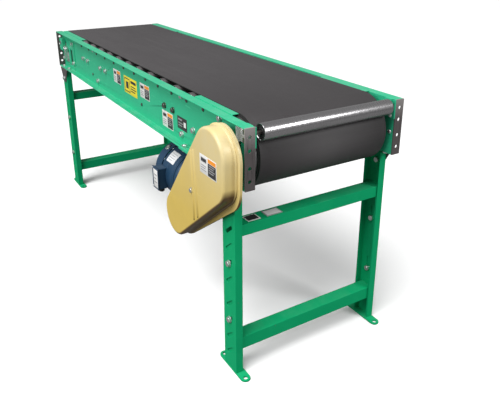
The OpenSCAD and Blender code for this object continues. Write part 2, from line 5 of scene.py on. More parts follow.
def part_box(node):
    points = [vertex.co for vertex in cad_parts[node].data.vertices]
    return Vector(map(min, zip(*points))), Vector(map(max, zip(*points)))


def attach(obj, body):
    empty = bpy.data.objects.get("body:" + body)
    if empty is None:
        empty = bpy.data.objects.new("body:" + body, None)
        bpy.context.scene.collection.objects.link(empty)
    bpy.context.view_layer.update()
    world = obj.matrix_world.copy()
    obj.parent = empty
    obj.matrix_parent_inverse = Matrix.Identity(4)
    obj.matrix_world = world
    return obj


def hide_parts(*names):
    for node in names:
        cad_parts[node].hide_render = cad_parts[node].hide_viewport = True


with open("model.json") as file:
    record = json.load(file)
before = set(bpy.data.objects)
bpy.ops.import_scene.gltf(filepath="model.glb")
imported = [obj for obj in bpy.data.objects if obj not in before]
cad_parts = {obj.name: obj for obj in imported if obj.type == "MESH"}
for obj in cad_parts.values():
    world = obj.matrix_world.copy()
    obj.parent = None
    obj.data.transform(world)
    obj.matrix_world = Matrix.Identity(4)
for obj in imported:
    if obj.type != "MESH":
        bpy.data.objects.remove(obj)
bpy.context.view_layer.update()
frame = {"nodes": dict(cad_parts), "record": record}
N = frame["nodes"]
MM = 0.001
random.seed(7)

# ---------------------------------------------------------------- camera and light
sc = bpy.context.scene
cam_data = bpy.data.cameras.new("camera")
cam = bpy.data.objects.new("camera", cam_data)
sc.collection.objects.link(cam)
cam_data.sensor_width = 36.0
cam_data.lens = 41.336
cam_data.shift_y = -0.11
cam.location = (2.14462, -1.00233, 1.28831)
yaw, pitch = math.radians(31.592), math.radians(20.653)
fwd = Vector((-math.cos(yaw) * math.cos(pitch), math.sin(yaw) * math.cos(pitch), -math.sin(pitch)))
cam.rotation_mode = "QUATERNION"
cam.rotation_quaternion = fwd.to_track_quat("-Z", "Y")
cam_data.clip_end = 200
sc.camera = cam
sc.view_settings.view_transform = "Standard"


def area_light(name, loc, target, size, power):
    d = bpy.data.lights.new(name, "AREA")
    d.shape = "RECTANGLE"
    d.size, d.size_y = size
    d.energy = power
    o = bpy.data.objects.new(name, d)
    sc.collection.objects.link(o)
    o.location = loc
    o.rotation_mode = "QUATERNION"
    o.rotation_quaternion = (Vector(target) - Vector(loc)).to_track_quat("-Z", "Y")


area_light("key", (0.6, -3.6, 2.6), (0.2, 0, 0.75), (2.6, 1.6), 88)
area_light("end", (4.4, 0.2, 1.9), (0.8, 0, 0.75), (0.7, 1.6), 15)
area_light("strip", (3.0, 1.35, 2.35), (0.94, 0, 0.8), (0.8, 0.8), 36)
sun_data = bpy.data.lights.new("sun", "SUN")
sun_data.energy = 2.7
sun_data.angle = math.radians(38)
sun = bpy.data.objects.new("sun", sun_data)
sc.collection.objects.link(sun)
sun.rotation_mode = "QUATERNION"
sun.rotation_quaternion = Vector((-0.16, 0.42, -0.9)).to_track_quat("-Z", "Y")
world = bpy.data.worlds.new("world")
sc.world = world
world.use_nodes = True
wt = world.node_tree
wt.nodes["Background"].inputs[0].default_value = (1, 1, 1, 1)
world_path = wt.nodes.new("ShaderNodeLightPath")
world_level = wt.nodes.new("ShaderNodeMapRange")
world_level.inputs["To Min"].default_value = 0.3
world_level.inputs["To Max"].default_value = 1.0
wt.links.new(world_path.outputs["Is Camera Ray"], world_level.inputs["Value"])
wt.links.new(world_level.outputs[0], wt.nodes["Background"].inputs[1])


# ---------------------------------------------------------------- materials
class Mat:
    """A small helper for building one node material."""

    def __init__(self, name, colour, rough, metal=0.0, coat=0.0, spec=0.5):
        self.m = bpy.data.materials.new(name)
        self.m.use_nodes = True
        self.t = self.m.node_tree
        self.bsdf = self.t.nodes["Principled BSDF"]
        self.bsdf.inputs["Metallic"].default_value = metal
        self.bsdf.inputs["Coat Weight"].default_value = coat
        self.bsdf.inputs["Coat Roughness"].default_value = 0.25
        self.bsdf.inputs["Specular IOR Level"].default_value = spec
        self.m.diffuse_color = (*colour, 1)
        self.coord = self.node("ShaderNodeTexCoord").outputs["Object"]
        self.col = self.rgb(colour)
        self.rough = self.val(rough)
        self.height = None

    def node(self, kind, **props):
        n = self.t.nodes.new(kind)
        for k, v in props.items():
            setattr(n, k, v)
        return n

    def link(self, a, b):
        self.t.links.new(a, b)

    def rgb(self, c):
        n = self.node("ShaderNodeRGB")
        n.outputs[0].default_value = (*c, 1)
        return n.outputs[0]

    def val(self, v):
        n = self.node("ShaderNodeValue")
        n.outputs[0].default_value = v
        return n.outputs[0]

    def put(self, sock, v):
        if hasattr(v, "is_output"):
            self.link(v, sock)
        else:
            sock.default_value = v

    def math(self, op, a, b=0.0):
        n = self.node("ShaderNodeMath", operation=op)
        self.put(n.inputs[0], a)
        self.put(n.inputs[1], b)
        return n.outputs[0]

    def scaled(self, s):
        n = self.node("ShaderNodeMapping")
        self.link(self.coord, n.inputs["Vector"])
        n.inputs["Scale"].default_value = s
        return n.outputs[0]

    def noise(self, scale, detail=3.0, rough=0.55, stretch=None):
        n = self.node("ShaderNodeTexNoise")
        self.link(self.scaled(stretch) if stretch else self.coord, n.inputs["Vector"])
        n.inputs["Scale"].default_value = scale
        n.inputs["Detail"].default_value = detail
        n.inputs["Roughness"].default_value = rough
        return n.outputs["Fac"]

    def bands(self, scale, axis):
        n = self.node("ShaderNodeTexWave", wave_type="BANDS", bands_direction=axis, wave_profile="SIN")
        self.link(self.coord, n.inputs["Vector"])
        n.inputs["Scale"].default_value = scale
        return n.outputs["Fac"]

    def cells(self, scale):
        n = self.node("ShaderNodeTexVoronoi")
        self.link(self.coord, n.inputs["Vector"])
        n.inputs["Scale"].default_value = scale
        return n.outputs["Distance"]

    def remap(self, v, a, b, c=0.0, d=1.0):
        n = self.node("ShaderNodeMapRange")
        self.put(n.inputs["Value"], v)
        for k, x in zip(("From Min", "From Max", "To Min", "To Max"), (a, b, c, d)):
            n.inputs[k].default_value = x
        return n.outputs[0]

    def tint(self, fac, colour):
        n = self.node("ShaderNodeMix", data_type="RGBA")
        self.put(n.inputs["Factor"], fac)
        self.link(self.col, n.inputs["A"])
        self.put(n.inputs["B"], colour if hasattr(colour, "is_output") else (*colour, 1))
        self.col = n.outputs["Result"]
        return self

    def roughen(self, fac, amount):
        self.rough = self.math("ADD", self.rough, self.math("MULTIPLY", fac, amount))
        return self

    def bump(self, h, distance, strength=1.0):
        n = self.node("ShaderNodeBump")
        n.inputs["Strength"].default_value = strength
        n.inputs["Distance"].default_value = distance
        self.link(h, n.inputs["Height"])
        if self.height:
            self.link(self.height, n.inputs["Normal"])
        self.height = n.outputs["Normal"]
        return self

    def facing(self, start, full, top=1.0):
        """0 where the surface's upward slope is start, up to top where it is full."""
        g = self.node("ShaderNodeNewGeometry")
        s = self.node("ShaderNodeSeparateXYZ")
        self.link(g.outputs["Normal"], s.inputs[0])
        return self.remap(s.outputs["Z"], start, full, 0, top)

    def along(self, axis):
        s = self.node("ShaderNodeSeparateXYZ")
        self.link(self.coord, s.inputs[0])
        return s.outputs[axis]

    def done(self):
        self.link(self.col, self.bsdf.inputs["Base Color"])
        self.link(self.rough, self.bsdf.inputs["Roughness"])
        if self.height:
            self.link(self.height, self.bsdf.inputs["Normal"])
        return self.m


def paint(name, colour, rough=0.4, coat=0.0, dust=(0.55, 0.55, 0.5), wear=0.4, spec=0.35, drift=0.85,
          paler_top=None, paler_top_heights=(0, 1), underside_shade=None):
    """Sprayed enamel: colour drift, orange peel, fine scratches, chips and settled dust.

    It turns paler towards the top, to the given colour between two heights in m, and darker on faces that
    look down, to the given colour, which is painted shade.
    """
    m = Mat(name, colour, rough, coat=coat, spec=spec)
    # paler towards the top between two heights: on the guard this is a painted sheen
    if paler_top:
        m.tint(m.remap(m.along("Z"), *paler_top_heights), paler_top)
    dark = tuple(c * drift for c in colour)
    light = tuple(min(1, c * 1.12 + 0.006) for c in colour)
    m.tint(m.remap(m.noise(2.6, 4), 0.35, 0.7, 0, 0.55), dark)
    m.tint(m.remap(m.noise(11, 5, 0.6), 0.5, 0.75, 0, 0.4), light)
    scratch = m.remap(m.noise(9, 2, 0.5, stretch=(1.5, 34, 34)), 0.69, 0.73, 0, wear)
    m.tint(scratch, tuple(min(1, c * 1.5 + 0.06) for c in colour))
    chips = m.remap(m.noise(85, 2, 0.5), 0.755, 0.775, 0, wear * 1.4)
    m.tint(chips, (0.12, 0.11, 0.1))
    film = m.math("MULTIPLY", m.facing(0.75, 0.98), m.remap(m.noise(14, 5, 0.65), 0.4, 0.8, 0.0, 0.14))
    m.tint(film, dust)
    # painted shade: faces that look down turn dark
    if underside_shade:
        m.tint(m.facing(-0.05, -0.4, 0.92), underside_shade)
    m.roughen(m.noise(26, 4), 0.14).roughen(film, 0.5)
    m.bump(m.noise(520, 2), 0.00011, 0.35).bump(m.noise(7, 3), 0.0012, 0.12)
    m.bump(m.math("ADD", scratch, chips), 0.00012, 0.4)
    return m.done()


def metal(name, colour, rough, stretch=(1, 1, 1), grain=900, depth=0.00003, stain=(0.2, 0.19, 0.17),
          blotch=0.25):
    """Bare or plated metal with directional grain, blotches and a little grime."""
    m = Mat(name, colour, rough, metal=1.0)
    g = m.noise(grain, 2, 0.5, stretch=stretch)
    m.tint(m.remap(g, 0.3, 0.8, 0, 0.22), tuple(c * 0.7 for c in colour))
    b = m.remap(m.noise(18, 5, 0.6), 0.5, 0.8, 0, blotch)
    m.tint(b, stain)
    m.roughen(m.remap(g, 0.3, 0.8), 0.16).roughen(b, 0.35)
    m.bump(g, depth, 0.6)
    return m.done()


def plastic(name, colour, rough):
    """Moulded plastic or rubber with a fine grain."""
    m = Mat(name, colour, rough)
    m.tint(m.remap(m.noise(16, 5), 0.45, 0.8, 0, 0.35), tuple(c * 1.5 + 0.01 for c in colour))
    m.roughen(m.noise(60, 3), 0.15)
    m.bump(m.noise(600, 3), 0.00006, 0.5)
    return m.done()


# one green enamel in two copies: the bed's paler copy is painted light, the supports' darker copy is painted
# shade
GREEN_LIT_COPY = paint("green_enamel_lit_copy", (0.03, 0.46, 0.245), rough=0.36, coat=0.1, spec=0.25)
GREEN_SHADED_COPY = paint("green_enamel_shaded_copy", (0.002, 0.36, 0.14), rough=0.45, spec=0.1, dust=(0.2, 0.42, 0.3),
                  wear=0.2)
GREY = paint("dark_grey_enamel", (0.085, 0.075, 0.075), rough=0.42, wear=0.6)
END_GREY = paint("dark_grey_enamel_ends", (0.085, 0.075, 0.075), rough=0.42, wear=0.6,
                 paler_top=(0.34, 0.32, 0.31), paler_top_heights=(0.76, 0.84))
# cream yellow guard: the paler top is a painted sheen and the dark brown on faces that look down is painted
# shade
YELLOW = paint("cream_yellow_enamel", (0.65, 0.47, 0.1), rough=0.36, coat=0.25, dust=(0.5, 0.42, 0.28),
               wear=0.12, drift=0.92, paler_top=(0.7, 0.6, 0.36), paler_top_heights=(0.5, 0.82), underside_shade=(0.07, 0.024, 0.006))
NAVY = paint("navy_enamel", (0.012, 0.045, 0.095), rough=0.38, coat=0.15, wear=0.4)
ZINC = metal("bright_zinc", (0.78, 0.79, 0.79), 0.34, grain=260, depth=0.00004, blotch=0.3)
# drawn tube, darker than its bare steel: painted shade for rollers in the shadow of the frame's lip
TUBE_SHADE_DARKENED = metal("drawn_tube_shade_darkened", (0.3, 0.28, 0.285), 0.34, stretch=(0.6, 60, 0.6), grain=30, depth=0.00004,
             blotch=0.22)
CHROME = metal("polished_tube", (0.5, 0.49, 0.5), 0.2, stretch=(0.6, 60, 0.6), grain=30, depth=0.000006,
               blotch=0.2)
CUP = metal("pressed_cup", (0.1, 0.095, 0.098), 0.5, grain=300, blotch=0.4)
SHAFT = metal("ground_bar", (0.6, 0.6, 0.61), 0.22, stretch=(1, 40, 1), grain=40)
TURNED = metal("turned_steel", (0.36, 0.35, 0.35), 0.38, stretch=(1, 50, 1), grain=30, blotch=0.5)
OILED = metal("oiled_steel", (0.2, 0.185, 0.17), 0.33, grain=300, blotch=0.5, stain=(0.06, 0.045, 0.03))
IRON = metal("cast_iron_skin", (0.17, 0.17, 0.18), 0.5, grain=420, depth=0.00025, blotch=0.5)
PLATE = metal("satin_nameplate", (0.62, 0.62, 0.6), 0.42, stretch=(60, 1, 1), grain=25, blotch=0.15)
BLACK = plastic("black_moulding", (0.018, 0.018, 0.019), 0.45)
SEAL = plastic("seal_rubber", (0.012, 0.012, 0.012), 0.55)

# near-white and not metallic: a painted reflection on the galvanised backing plates
m = Mat("galvanised_sheet_painted_reflection", (0.97, 0.965, 0.96), 0.4)
m.tint(m.remap(m.cells(160), 0.2, 0.7, 0, 0.3), (0.7, 0.7, 0.7))
m.roughen(m.noise(60, 4), 0.15)
m.bump(m.noise(240, 3), 0.00005, 0.5)
GALV_PAINTED_REFLECTION = m.done()

m = Mat("printed_foil", (0.8, 0.81, 0.83), 0.45, metal=0.1)
m.tint(m.remap(m.noise(30, 3), 0.4, 0.7, 0, 0.3), (0.62, 0.63, 0.66))
m.roughen(m.noise(90, 3), 0.12)
m.bump(m.noise(300, 2), 0.00004, 0.4)
FOIL = m.done()

m = Mat("belt_cover", (0.055, 0.051, 0.053), 0.52, spec=0.4)
m.tint(m.remap(m.noise(3.2, 5, 0.6, stretch=(0.45, 1.6, 1)), 0.4, 0.75, 0, 0.5), (0.078, 0.074, 0.076))
m.tint(m.remap(m.noise(5, 4, 0.6, stretch=(0.35, 16, 1)), 0.56, 0.72, 0, 0.32), (0.1, 0.096, 0.096))
m.tint(m.remap(m.noise(40, 4), 0.62, 0.8, 0, 0.3), (0.035, 0.033, 0.034))
# darker towards the drive end: painted shade
m.tint(m.remap(m.along("X"), 0.1, 0.8, 0, 0.75), (0.034, 0.031, 0.032))
weave = m.math("MULTIPLY", m.bands(175, "X"), m.bands(175, "Y"))
m.roughen(m.noise(9, 4), 0.16).roughen(weave, -0.05)
m.bump(weave, 0.00022, 0.55).bump(m.noise(240, 3), 0.00012, 0.4)
# painted highlight: the working face turns lighter in its middle where it wraps the drive pulley
highlight_band = m.remap(m.along("X"), 0.9, 0.955)
middle = m.remap(m.math("ABSOLUTE", m.along("Y")), 0.02, 0.2, 0.5, 0)
m.tint(m.math("MULTIPLY", highlight_band, middle), (0.17, 0.165, 0.167))
BELT = m.done()

m = Mat("lagging", (0.022, 0.021, 0.021), 0.7, spec=0.3)
m.tint(m.remap(m.noise(30, 4), 0.5, 0.8, 0, 0.4), (0.06, 0.057, 0.055))
m.bump(m.math("ABSOLUTE", m.math("SINE", m.math("MULTIPLY", m.along("Y"), 300))), 0.001, 0.5)
m.bump(m.noise(300, 3), 0.0002, 0.5)
LAGGING = m.done()


def sticker(name, colour):
    """Printed film: slight fading, dust specks and a faint ripple."""
    m = Mat(name, colour, 0.4, coat=0.3)
    m.tint(m.remap(m.noise(70, 4), 0.5, 0.85, 0, 0.16), tuple(c * 0.72 for c in colour))
    m.tint(m.remap(m.noise(600, 2), 0.7, 0.78, 0, 0.3), tuple(min(1, c * 0.6 + 0.1) for c in colour))
    m.roughen(m.noise(40, 3), 0.18)
    m.bump(m.noise(90, 2), 0.0002, 0.2)
    return m.done()


S_WHITE = sticker("label_white", (0.78, 0.78, 0.76))
S_ORANGE = sticker("label_orange", (0.9, 0.31, 0.02))
S_BLACK = sticker("label_black", (0.025, 0.025, 0.026))
S_YELLOW = sticker("label_yellow", (0.86, 0.72, 0.03))
S_GREY = sticker("label_grey", (0.33, 0.33, 0.34))

SLOT_MAT = {
    "green_paint": GREEN_LIT_COPY, "grey_paint": GREY, "yellow_paint": YELLOW, "navy_paint": NAVY,
    "zinc_plate": ZINC, "roller_steel": TUBE_SHADE_DARKENED, "shaft_steel": SHAFT, "pulley_steel": TURNED,
    "chain_steel": OILED, "bearing_iron": IRON, "belt_rubber": BELT, "lagging_rubber": LAGGING,
    "fan_plastic": BLACK,
}
NODE_SLOT = {s["node"]: s["material_slot"] for s in frame["record"]["subparts"]}

# ---------------------------------------------------------------- CAD nodes: materials and soft edges
BEVEL_MM = {"motor_mount": 1.2, "guard_back": 0.3, "takeup_blocks": 1.0, "drive_bearings": 1.6,
            "conduit_box": 2.0, "pivot_brackets": 0.7, "end_couplings": 0.6}
NO_BEVEL = {"pulley_lagging", "drive_chain", "motor_fan", "fan_cover", "driven_sprocket", "drive_sprocket"}


def soften(o, width):
    """Small rounded edges, width in mm, on a CAD node, with clean shading."""
    w = o.modifiers.new("weld", "WELD")
    w.merge_threshold = 0.00002
    if width:
        b = o.modifiers.new("edge", "BEVEL")
        b.width = width * MM
        b.segments = 2
        b.limit_method = "ANGLE"
        b.angle_limit = math.radians(40)
        b.use_clamp_overlap = True
        b.harden_normals = False
    n = o.modifiers.new("shade", "WEIGHTED_NORMAL")
    n.weight = 60
    n.keep_sharp = True


OWN_MAT = {"end_couplings": END_GREY, "roller_axles": OILED, "popout_axle": OILED, "backing_plates": GALV_PAINTED_REFLECTION,
           "lower_braces": GREEN_SHADED_COPY, "upper_braces": GREEN_SHADED_COPY}
for name, o in N.items():
    mat = GREEN_SHADED_COPY if "_leg_" in name else OWN_MAT.get(name, SLOT_MAT[NODE_SLOT[name]])
    if not o.data.materials:
        o.data.materials.append(mat)
    for i in range(len(o.data.materials)):
        o.data.materials[i] = mat
    soften(o, 0 if name in NO_BEVEL else BEVEL_MM.get(name, 0.7))


# ---------------------------------------------------------------- mesh helpers
def make(name, bm, mats, body, sharp=35):
    """Turns bm into a piece that rides on a body, smooth apart from edges over sharp degrees."""
    bmesh.ops.recalc_face_normals(bm, faces=bm.faces)
    me = bpy.data.meshes.new(name)
    bm.to_mesh(me)
    bm.free()
    for mt in mats:
        me.materials.append(mt)
    me.polygons.foreach_set("use_smooth", [True] * len(me.polygons))
    me.set_sharp_from_angle(angle=math.radians(sharp))
    o = bpy.data.objects.new(name, me)
    sc.collection.objects.link(o)
    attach(o, body)
    return o


def basis(axis):
    """Columns (u, v, w) with w along the axis."""
    return {"X": ((0, 1, 0), (0, 0, 1), (1, 0, 0)), "Y": ((0, 0, 1), (1, 0, 0), (0, 1, 0)),
            "Z": ((1, 0, 0), (0, 1, 0), (0, 0, 1)), "-Y": ((1, 0, 0), (0, 0, 1), (0, -1, 0)),
            "-Z": ((0, 1, 0), (1, 0, 0), (0, 0, -1)), "-X": ((0, 0, 1), (0, 1, 0), (-1, 0, 0))}[axis]


def skin(bm, rows, mat=0, loop=False):
    """Faces between rings of vertices, with a cap on both ends unless the rows loop round."""
    n = len(rows[0])
    for a, b in zip(rows, rows[1:] + rows[:1] if loop else rows[1:]):
        for i in range(n):
            j = (i + 1) % n
            bm.faces.new((a[i], a[j], b[j], b[i])).material_index = mat
    if not loop:
        bm.faces.new(list(reversed(rows[0]))).material_index = mat
        bm.faces.new(rows[-1]).material_index = mat


def turn(n):
    """Angles of n equal steps round a circle."""
    return [2 * math.pi * i / n for i in range(n)]


def lathe(bm, centre, axis, profile, seg=48, mats=None, closed=False):
    """Turns a profile of (radius, distance along the axis), in mm, about the axis through centre."""
    u, v, w = (Vector(c) for c in basis(axis))
    c = Vector(centre) * MM
    rings = []
    for r, h in profile:
        if r < 1e-6:
            rings.append([bm.verts.new(c + w * h * MM)] * seg)
        else:
            rings.append([bm.verts.new(c + (u * math.cos(a) + v * math.sin(a)) * r * MM + w * h * MM)
                          for a in turn(seg)])
    pairs = list(zip(rings, rings[1:])) + ([(rings[-1], rings[0])] if closed else [])
    for k, (a, b) in enumerate(pairs):
        for i in range(seg):
            j = (i + 1) % seg
            q = []
            for x in (a[i], a[j], b[j], b[i]):
                if x not in q:
                    q.append(x)
            if len(q) > 2:
                f = bm.faces.new(q)
                if mats:
                    f.material_index = mats[k]


def slab(bm, lo, hi, mat=0, bevel=0.0, seg=2):
    """Box between two corners in mm, with rounded edges."""
    lo, hi = Vector(lo) * MM, Vector(hi) * MM
    vs = bmesh.ops.create_cube(bm, size=1.0)["verts"]
    for p in vs:
        p.co = Vector((lo[i] if p.co[i] < 0 else hi[i] for i in range(3)))
    for f in {f for p in vs for f in p.link_faces}:
        f.material_index = mat
    if bevel:
        es = {e for p in vs for e in p.link_edges}
        bmesh.ops.bevel(bm, geom=list(es), offset=bevel * MM, segments=seg, affect="EDGES", profile=0.5,
                        material=-1)


def side_slab(bm, side, lo, hi, bevel):
    """Slab given for the +Y side, put on the side asked for."""
    y0, y1 = sorted((side * lo[1], side * hi[1]))
    slab(bm, (lo[0], y0, lo[2]), (hi[0], y1, hi[2]), bevel=bevel)


def prism(bm, pts, y0, y1):
    """Polygon of (x, z) in mm carried along Y."""
    skin(bm, [[bm.verts.new((x * MM, y * MM, z * MM)) for x, z in pts] for y in (y0, y1)])


def hex_head(bm, centre, axis, flats, height, mat=0, washer=0.0, washer_h=0.0):
    """Chamfered hexagon head standing on centre along the axis, on a washer when one is given."""
    u, v, w = (Vector(c) for c in basis(axis))
    c = Vector(centre) * MM
    chamfer = 1.1
    if washer:
        lathe(bm, centre, axis, [(0, 0), (washer - 0.3, 0), (washer, 0.3), (washer, washer_h - 0.3),
                                 (washer - 0.3, washer_h), (0, washer_h)], 24, mats=[mat] * 5)
    flat = flats / 2
    corner = flat / math.cos(math.radians(30))
    rows = []
    for k in range(4):
        ring = []
        for a in turn(24):
            reach = flat / math.cos((a + math.pi / 6) % (math.pi / 3) - math.pi / 6)
            over = (reach - flat) / (corner - flat)
            r, h = ((flat * 0.97, 0), (reach, 0.3), (reach, height - 0.35 - chamfer * over),
                    (flat * 0.96, height))[k]
            out = (u * math.sin(a) + v * math.cos(a)) * r * MM
            ring.append(bm.verts.new(c + out + w * (washer_h + h) * MM))
        rows.append(ring)
    skin(bm, rows, mat)


def thread(bm, centre, axis, r, h0, h1, pitch=1.5, mat=0, seg=20):
    """Rod with turned thread ridges, from h0 to h1 along the axis."""
    prof = [(0, h0), (r * 0.8, h0), (r * 0.86, h0 + 0.4)]
    h = h0 + 0.8
    while h < h1 - 1.6:
        prof += [(r, h), (r * 0.88, h + pitch / 2)]
        h += pitch
    prof += [(r * 0.86, h1 - 0.4), (r * 0.8, h1), (0, h1)]
    lathe(bm, centre, axis, prof, seg, mats=[mat] * (len(prof) - 1))


def full_bolt(bm, x, z, side, face, grip, mat=0):
    """M10 bolt through a side plate: head and washer outside, thread and nut inside."""
    outer, inner = ("Y", "-Y") if side > 0 else ("-Y", "Y")
    hex_head(bm, (x, side * face, z), outer, 17, 6.4, mat, 10.8, 2.0)
    thread(bm, (x, side * (face - grip), z), inner, 5, -grip + 0.2, 7.9, mat=mat)
    hex_head(bm, (x, side * (face - grip), z), inner, 17, 7.4, mat)


# ---------------------------------------------------------------- rollers
def roller(name, node, half=244, tube=TUBE_SHADE_DARKENED):
    """Tube with pressed cups, bearing seals and an open bore, in place of the CAD node."""
    lo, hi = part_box(node)
    c = (lo + hi) / 2 / MM
    bm = bmesh.new()
    end = [(24.15, half - 2.4), (24.05, half - 1.2), (23.6, half - 0.35), (22.9, half), (22.2, half - 0.1),
           (21.6, half - 0.9), (21.3, half - 2.4), (20.4, half - 3.0), (18.2, half - 3.0), (17.7, half - 3.5),
           (17.5, half - 4.6), (13.2, half - 4.2), (9.9, half - 4.6), (9.7, half - 3.4), (9.4, half - 2.8),
           (7.3, half - 2.8), (6.9, half - 3.2), (6.7, half - 9)]
    tags = [0] * 6 + [1] * 3 + [2] * 4 + [1] * 4
    prof = [(r, -h) for r, h in reversed(end)] + end
    mats = list(reversed(tags)) + [0] + tags + [1]
    lathe(bm, (c.x, 0, c.z), "Y", prof, 56, mats=mats, closed=True)
    o = make(name, bm, [tube, CUP, SEAL], node + "_unit")
    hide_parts(node)


for i in range(1, 13):
    roller("roller_%02d" % i, "carrying_roller_%02d" % i)
for name, node in (("roller_return_1", "return_roller_1"), ("roller_return_2", "return_roller_2"),
                   ("roller_snub", "snub_roller")):
    roller(name, node)
roller("roller_popout", "popout_roller", 229, CHROME)

# ---------------------------------------------------------------- belt
# axes of the drive pulley, tail pulley and snub roller, and the belt's inner radius round each
DX, DZ, TX, TZ, SX, SZ = 831.0, 724.0, -903.5, 776.6, 675.0, 695.75
DRIVE_WRAP, TAIL_WRAP, SNUB_WRAP = 104.0, 51.4, 29.45
dist = math.hypot(SX - DX, SZ - DZ)
leave = math.degrees(math.atan2(SZ - DZ, SX - DX)) + math.degrees(math.acos((DRIVE_WRAP + SNUB_WRAP) / dist))


def arc(x, z, r, a0, a1, n):
    """Points (x, z) from angle a0 to a1, in degrees, in n steps."""
    angles = [math.radians(a0 + (a1 - a0) * i / n) for i in range(n + 1)]
    return [(x + r * math.cos(a), z + r * math.sin(a)) for a in angles]


def belt_path(k):
    """Closed path of the belt, k mm out from its inner face."""
    n = 60
    p = arc(DX, DZ, DRIVE_WRAP + k, 90, leave, 120)
    p += arc(SX, SZ, SNUB_WRAP - k, leave + 180, 90, 20)
    p += [(SX + (TX - SX) * i / n, SZ + SNUB_WRAP - k) for i in range(1, n)]
    p += arc(TX, TZ, TAIL_WRAP + k, 270, 90, 72)
    p += [(TX + (DX - TX) * i / n, DZ + DRIVE_WRAP + k) for i in range(1, n)]
    return p


bm = bmesh.new()
half_w, th, r = 228.5, 5.0, 1.0
edge = [(half_w - r, 0), (half_w - 0.3, 0.3), (half_w, r), (half_w, th - r), (half_w - 0.3, th - 0.3),
        (half_w - r, th)]
section = edge + [(y, th) for y in (114, 0, -114)] + [(-y, k) for y, k in reversed(edge)]
section += [(y, 0) for y in (-114, 0, 114)]
skin(bm, [[bm.verts.new((x * MM, y * MM, z * MM)) for x, z in belt_path(k)] for y, k in section], loop=True)
o = make("belt_loop", bm, [BELT], "bed", sharp=50)
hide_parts("belt")

# hooked wire lacing of the belt joint, on the return run
bm = bmesh.new()
hook = [(-9, 5.25), (-3.5, 5.25), (0, 4.6), (2.2, 2.5), (0, 0.4), (-3.5, -0.25), (-9, -0.25)]
across = Vector((0, 1, 0))
for i in range(57):
    facing = 1 if i % 2 else -1
    pts = [Vector((-120 + facing * (dx + 3), -222 + i * 7.9, 725.2 - dz)) for dx, dz in hook]
    rows = []
    for k, p in enumerate(pts):
        along = (pts[min(k + 1, len(pts) - 1)] - pts[max(k - 1, 0)]).normalized()
        up = along.cross(across)
        rows.append([bm.verts.new((p + across * 0.62 * math.cos(a) + up * 0.42 * math.sin(a)) * MM)
                     for a in turn(6)])
    skin(bm, rows)
lathe(bm, (-120, 0, 722.7), "Y", [(0, -227), (0.9, -227), (0.9, 227), (0, 227)], 10)
make("belt_lacing", bm, [ZINC], "bed")

# ---------------------------------------------------------------- chain guard
# axis of the gear reducer's output shaft, then the guard's corner circles as (x, z, radius)
GX, GZ = 601.949, 451.999
GUARD = [(DX + 13, DZ + 2, 86), (GX - 1, GZ, 70), (DX + 28, DZ - 65, 70)]


def outline(k):
    """Outline round the guard's circles, k mm outside them."""
    def tangent(a, b):
        return math.degrees(math.atan2(b[1] - a[1], b[0] - a[0])) - math.degrees(
            math.acos((a[2] - b[2]) / math.hypot(b[0] - a[0], b[1] - a[1])))
    out = []
    for i, (x, z, r) in enumerate(GUARD):
        a0 = tangent(GUARD[i - 1], GUARD[i])
        a1 = tangent(GUARD[i], GUARD[(i + 1) % len(GUARD)])
        while a1 < a0:
            a1 += 360
        out += arc(x, z, r + k, a0, a1, 28)
    return out


def rounded(radius, inset, angles):
    """Rings (offset, y) of the guard's rounded front edge, inset from its outside."""
    r = radius - inset
    return [(-inset - r * (1 - math.cos(a)), FRONT + radius - r * math.sin(a))
            for a in map(math.radians, angles)]


# the pressed cover as one closed skin: up the inside, over the flange lip and back down the outside
FRONT, BACK, R = -338.0, -297.0, 9.0
rings = [(-16, FRONT + 2)] + rounded(R, 2, (90, 70, 50, 30, 10))
rings += [(-2, FRONT + R + 1), (-2, BACK - 5), (-1.2, BACK - 3.4), (1, BACK - 1.9), (4.2, BACK - 1.6)]
rings += [(5, BACK), (5, BACK - 2.8), (4.4, BACK - 3.4), (1.6, BACK - 3.9), (0.2, BACK - 5.2), (0, BACK - 7)]
rings += [(0, BACK - 18)]
rings += [(0, FRONT + R + 1)] + rounded(R, 0, (10, 25, 40, 55, 70, 80, 90)) + [(-R - 3, FRONT), (-20, FRONT)]
bm = bmesh.new()
skin(bm, [[bm.verts.new((x * MM, y * MM, z * MM)) for x, z in outline(k)] for k, y in rings])
o = make("guard_shell", bm, [YELLOW], "bed", sharp=42)
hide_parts("guard_cover")

# two leaning ridges pressed into the guard face
bm = bmesh.new()
for x0, z0, x1, z1 in ((738, 712, 746, 500), (754, 718, 771, 518)):
    pts = [(x0 - 6, z0), (x0 + 1, z0 + 6), (x0 + 6, z0), (x1 + 6, z1), (x1, z1 - 6), (x1 - 6, z1)]
    low = [bm.verts.new((x * MM, (FRONT + 0.3) * MM, z * MM)) for x, z in pts]
    top = []
    for k, (x, z) in enumerate(pts):
        cx = x0 if k < 3 else x1
        top.append(bm.verts.new(((cx + (x - cx) * 0.3) * MM, (FRONT - 2.4) * MM, z * MM)))
    skin(bm, [low, top])
make("guard_swages", bm, [YELLOW], "bed", sharp=60)


# ---------------------------------------------------------------- labels and plates
def label(name, x, z, w, h, y, spec):
    """Thin plate on a face looking along -Y; spec lists (x0, z0, x1, z1, material) in parts of its size."""
    bm = bmesh.new()
    mats = list(dict.fromkeys(row[4] for row in spec))
    for k, (x0, z0, x1, z1, mt) in enumerate(spec):
        left, foot = x - w / 2, z - h / 2
        slab(bm, (left + w * x0, y - 0.5 * (1 + 0.12 * k), foot + h * z0), (left + w * x1, y, foot + h * z1),
             mats.index(mt), bevel=0 if k else 0.35)
    make(name, bm, mats, "bed")


